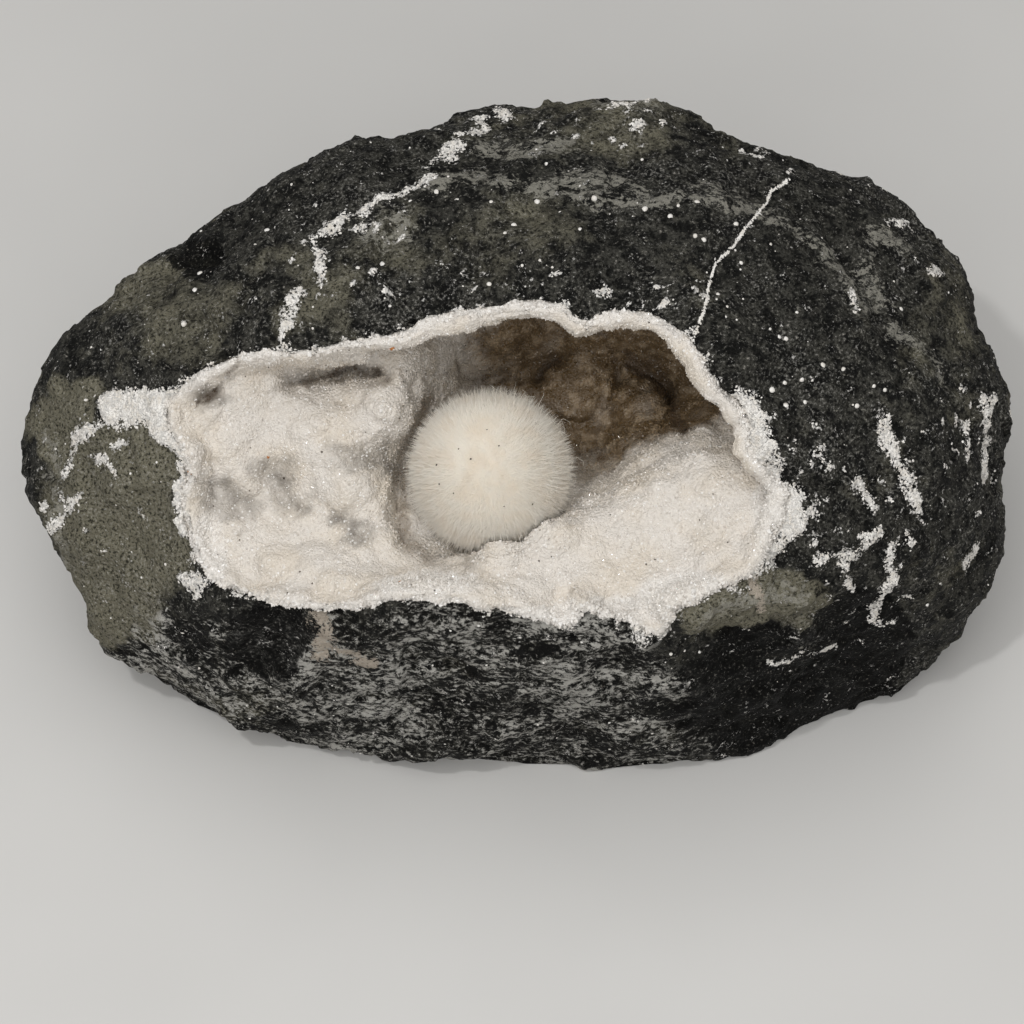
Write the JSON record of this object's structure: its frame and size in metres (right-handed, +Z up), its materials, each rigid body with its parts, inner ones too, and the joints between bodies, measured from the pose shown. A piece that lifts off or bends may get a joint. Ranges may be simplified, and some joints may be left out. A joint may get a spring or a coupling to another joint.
{
  "type": "okenite puffball in a drusy basalt geode",
  "caption": "Dark basalt nodule broken open on a white crystal-lined vug that holds one creamy ball of radiating okenite fibres; rests on a flat underside.",
  "frame": {"origin": "centre of the footprint of the box around the stone, on the surface it rests on", "axes": "+X along the stone's length, to the right as one faces the vug; +Z up; the vug opens up and to the front, toward -Y"},
  "size_m": [0.1314, 0.0738, 0.0685],
  "materials": {
    "basalt": "rough charcoal basalt with olive patches, white specks and thin white veins",
    "druse": "sparkling white to cream crust of fine quartz crystals",
    "okenite": "fine creamy white fibres, soft and matt"
  },
  "bodies": {
    "root": {"basalt_matrix": "basalt", "quartz_druse": "druse", "okenite_puffball": "okenite"}
  },
  "joints": []
}
